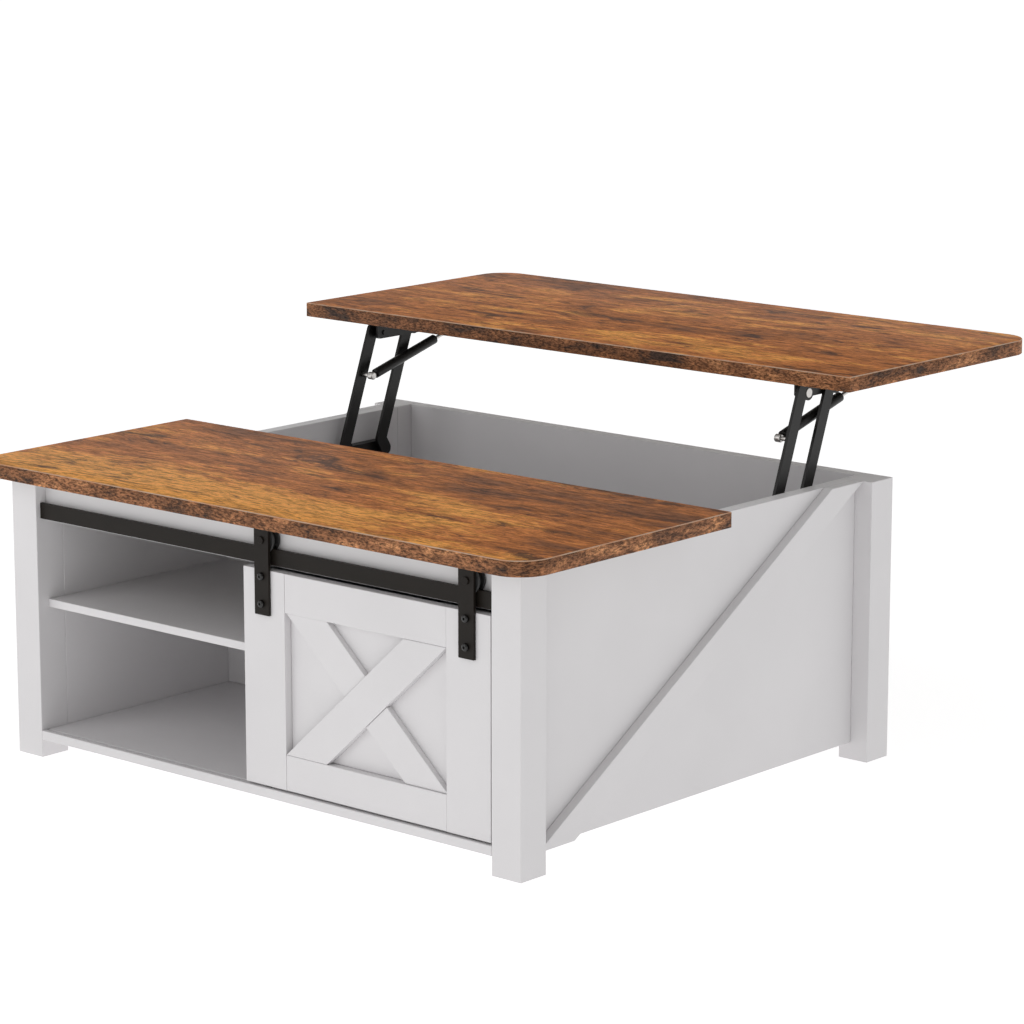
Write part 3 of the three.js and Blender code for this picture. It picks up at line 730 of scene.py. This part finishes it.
class TABLE_OT_ball_studs(bpy.types.Operator):
    """Make the bright ball cups of the struts and their pins on the arms"""

    bl_idname = "table.ball_studs"
    bl_label = "Ball studs"

    def execute(self, context):
        steel = made("bright_steel", bright_steel, context.scene.table_finishes)
        joints = {j["name"]: j for j in frame["record"]["behaviour"]["joints"]}
        y, z = joints["strut_hinge"]["pos_m"][1:]
        for side, sign in BOTH_SIDES:
            low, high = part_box("strut_cylinder_%s" % side)
            middle = (low[0] + high[0]) / 2
            left, right = middle - BALL_CUP_HALF, middle + BALL_CUP_HALF
            cup = add_cylinder(BALL_CUP_RADIUS, (left, y, z), (right, y, z), 32)
            apply_bevel(cup, 0.0016, 4, 40.0)
            settle(cup, "ball_cup_%s" % side)
            smooth(cup, 50.0)
            paint(cup, steel)
            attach(cup, "strut_cylinders")
            start = middle + sign * BALL_PIN_START
            end = self.arm_face("front_arm_%s" % side, y, z, sign)
            pin = add_cylinder(BALL_PIN_RADIUS, (start, y, z), (end, y, z), 24)
            apply_bevel(pin, 0.0004, 2, 40.0)
            settle(pin, "ball_pin_%s" % side)
            smooth(pin, 50.0)
            paint(pin, steel)
            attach(pin, "front_arms")
        return {"FINISHED"}

    def arm_face(self, node, y, z, sign):
        """Inner face of the boss round the ball pin."""
        verts = frame["nodes"][node].data.vertices
        inner, outer = BALL_BOSS_RING
        near = [v.co.x for v in verts if inner < math.hypot(v.co.y - y, v.co.z - z) < outer]
        return sign * min(abs(x) for x in near)


class TABLE_OT_rivets(bpy.types.Operator):
    """Make the bright rivet heads on the arms and the screws under the lift top"""

    bl_idname = "table.rivets"
    bl_label = "Rivets and screws"

    def execute(self, context):
        finish = context.scene.table_finishes
        radius = context.scene.table_sizes.rivet_radius
        steel = made("bright_steel", bright_steel, finish)
        joints = {j["name"]: j for j in frame["record"]["behaviour"]["joints"]}
        upper = joints["lift_top_hinge"]["pos_m"]
        pitch = joints["rear_arms_hinge"]["pos_m"][1] - joints["front_arms_hinge"]["pos_m"][1]
        rows = (
            ("front", upper[1], RIVET_PROUD_FRONT),
            ("rear", upper[1] + pitch, RIVET_PROUD_REAR),
        )
        for which, y, proud in rows:
            outer = self.ear_face("%s_arm_right" % which, y, upper[2])
            for side, sign in BOTH_SIDES:
                a = (sign * outer, y, upper[2])
                b = (sign * (outer + proud), y, upper[2])
                head = add_cylinder(radius, a, b, 32)
                end = sign * (outer + proud)
                pick_faces(head, lambda f: f.normal.x * sign > 0.9 and abs(f.center.x - end) < 1e-5)
                bpy.ops.mesh.inset(thickness=RIVET_RIM, depth=RIVET_DISH)
                object_mode()
                apply_bevel(head, 0.00025, 2, 30.0)
                settle(head, "rivet_%s_%s" % (which, side))
                smooth(head, 40.0)
                paint(head, steel)
                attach(head, "%s_arms" % which)
        for side, sign in BOTH_SIDES:
            low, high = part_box("top_bracket_%s" % side)
            inner = low[0] if sign > 0 else high[0]
            under = high[2] - BRACKET_PLATE
            for i, share in enumerate(SCREW_PLACES):
                y = low[1] + share * (high[1] - low[1])
                x = inner + sign * SCREW_INSET
                tip = under - SCREW_HEIGHT
                head = add_cylinder(SCREW_RADIUS, (x, y, under), (x, y, tip), 24)
                pick_edges(head, lambda a, b: abs(a.z - tip) < 1e-5 and abs(b.z - a.z) < 1e-6)
                bpy.ops.mesh.bevel(offset=SCREW_DOME, segments=4, affect="EDGES")
                object_mode()
                for dx, dy in ((SLOT_LONG, SLOT_THIN), (SLOT_THIN, SLOT_LONG)):
                    slot = add_cube((x - dx, y - dy, under - 0.003), (x + dx, y + dy, under - 0.001))
                    cut(head, slot)
                settle(head, "bracket_screw_%s_%d" % (side, i + 1))
                smooth(head, 40.0)
                paint(head, steel)
                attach(head, "lift_top")
        return {"FINISHED"}

    def ear_face(self, node, y, z):
        """Outer face of an arm beside its upper pivot."""
        verts = frame["nodes"][node].data.vertices
        return max(v.co.x for v in verts if math.hypot(v.co.y - y, v.co.z - z) < ARM_EAR_RADIUS)


class TABLE_OT_shelf_pins(bpy.types.Operator):
    """Make the shelf pins under both shelves"""

    bl_idname = "table.shelf_pins"
    bl_label = "Shelf pins"

    def execute(self, context):
        steel = made("bright_steel", bright_steel, context.scene.table_finishes)
        for side in ("left", "right"):
            low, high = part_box("shelf_%s" % side)
            z = low[2] - SHELF_PIN_DROP
            ends = ((low[0] - SHELF_PIN_SINK, 1), (high[0] + SHELF_PIN_SINK, -1))
            rows = (low[1] + SHELF_PIN_INSET, high[1] - SHELF_PIN_INSET)
            for i, (wall, sign) in enumerate(ends):
                for k, y in enumerate(rows):
                    tip = (wall + sign * SHELF_PIN_LENGTH, y, z)
                    pin = add_cylinder(SHELF_PIN_RADIUS, (wall, y, z), tip, 20)
                    apply_bevel(pin, 0.0006, 3, 40.0)
                    rim = (wall + sign * COLLAR_LENGTH, y, z)
                    collar = add_cylinder(COLLAR_RADIUS, (wall, y, z), rim, 20)
                    apply_bevel(collar, 0.0003, 2, 40.0)
                    piece = merge([pin, collar], "shelf_pin_%s_%d%d" % (side, i + 1, k + 1))
                    smooth(piece, 40.0)
                    paint(piece, steel)
                    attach(piece, "cabinet")
        return {"FINISHED"}


class TABLE_OT_studio(bpy.types.Operator):
    """Set the floor, the lights and the camera"""

    bl_idname = "table.studio"
    bl_label = "Studio"

    def execute(self, context):
        scene = context.scene
        setup = scene.table_studio
        clear_selection()
        bpy.ops.mesh.primitive_plane_add(size=FLOOR_SIZE, location=(0, 0, -FLOOR_DROP))
        floor = bpy.context.object
        floor.name = "floor"
        n = Nodes("floor_white")
        cloud = n.noise(n.place((1, 1, 1)), 0.6, 2.0)
        n.set("Base Color", n.ramp(cloud, [(0.3, (0.965, 0.965, 0.965)), (0.7, (0.98, 0.98, 0.98))]))
        n.set("Roughness", 0.9)
        n.shader.inputs["Emission Color"].default_value = (1.0, 1.0, 1.0, 1)
        n.shader.inputs["Emission Strength"].default_value = setup.floor_glow
        paint(floor, n.material)

        world = bpy.data.worlds.new("white_room")
        world.use_nodes = True
        nodes, links = world.node_tree.nodes, world.node_tree.links
        way = nodes.new("ShaderNodeTexCoord")
        split = nodes.new("ShaderNodeSeparateXYZ")
        links.new(way.outputs["Generated"], split.inputs["Vector"])
        fade = nodes.new("ShaderNodeMapRange")
        fade.interpolation_type = "SMOOTHSTEP"
        fade.inputs["From Min"].default_value = HORIZON_FADE[0]
        fade.inputs["From Max"].default_value = HORIZON_FADE[1]
        fade.inputs["To Min"].default_value = HORIZON_LIGHT
        fade.inputs["To Max"].default_value = setup.sky
        links.new(split.outputs["Z"], fade.inputs["Value"])
        back = nodes["Background"]
        back.inputs["Color"].default_value = (1.0, 1.0, 1.0, 1)
        links.new(fade.outputs["Result"], back.inputs["Strength"])
        scene.world = world

        self.area("key_light", KEY_PLACE, KEY_AIM, KEY_SIZE, setup.key_power)
        self.area("fill_light", FILL_PLACE, FILL_AIM, FILL_SIZE, setup.fill_power)

        data = bpy.data.cameras.new("camera")
        data.lens = setup.lens
        data.sensor_width = 36.0
        data.clip_end = 100.0
        camera = bpy.data.objects.new("camera", data)
        bpy.context.collection.objects.link(camera)
        place = Vector(setup.camera_place)
        camera.location = place
        camera.rotation_euler = (Vector(setup.camera_aim) - place).to_track_quat("-Z", "Y").to_euler()
        scene.camera = camera
        scene.view_settings.view_transform = "Standard"
        scene.view_settings.look = "None"
        return {"FINISHED"}

    def area(self, name, place, aim, size, power):
        data = bpy.data.lights.new(name, "AREA")
        data.shape = "SQUARE"
        data.size = size
        data.energy = power
        obj = bpy.data.objects.new(name, data)
        bpy.context.collection.objects.link(obj)
        obj.visible_camera = False
        obj.location = place
        obj.rotation_euler = (Vector(aim) - Vector(place)).to_track_quat("-Z", "Y").to_euler()


class TABLE_PT_sidebar(bpy.types.Panel):
    """Sizes, finishes and build steps of the coffee table"""

    bl_label = "Coffee Table"
    bl_idname = "TABLE_PT_sidebar"
    bl_space_type = "VIEW_3D"
    bl_region_type = "UI"
    bl_category = "Coffee Table"

    def draw(self, context):
        scene = context.scene
        for group in (scene.table_finishes, scene.table_sizes, scene.table_studio):
            box = self.layout.box()
            for key in group.__annotations__:
                box.prop(group, key)
        for step in STEPS:
            self.layout.operator(step.bl_idname)


GROUPS = (TableFinishes, TableSizes, StudioSettings)
STEPS = (
    TABLE_OT_white_boards, TABLE_OT_tops, TABLE_OT_door_hardware, TABLE_OT_strap_bolts,
    TABLE_OT_lift_arms, TABLE_OT_ball_studs, TABLE_OT_rivets, TABLE_OT_shelf_pins, TABLE_OT_studio,
)


def register():
    for item in GROUPS + STEPS + (TABLE_PT_sidebar,):
        bpy.utils.register_class(item)
    bpy.types.Scene.table_finishes = PointerProperty(type=TableFinishes)
    bpy.types.Scene.table_sizes = PointerProperty(type=TableSizes)
    bpy.types.Scene.table_studio = PointerProperty(type=StudioSettings)


def unregister():
    del bpy.types.Scene.table_finishes
    del bpy.types.Scene.table_sizes
    del bpy.types.Scene.table_studio
    for item in reversed(GROUPS + STEPS + (TABLE_PT_sidebar,)):
        bpy.utils.unregister_class(item)


def main():
    register()
    bpy.ops.table.white_boards()
    bpy.ops.table.tops()
    bpy.ops.table.door_hardware()
    bpy.ops.table.strap_bolts()
    bpy.ops.table.lift_arms()
    bpy.ops.table.ball_studs()
    bpy.ops.table.rivets()
    bpy.ops.table.shelf_pins()
    bpy.ops.table.studio()


if __name__ == "__main__":
    main()
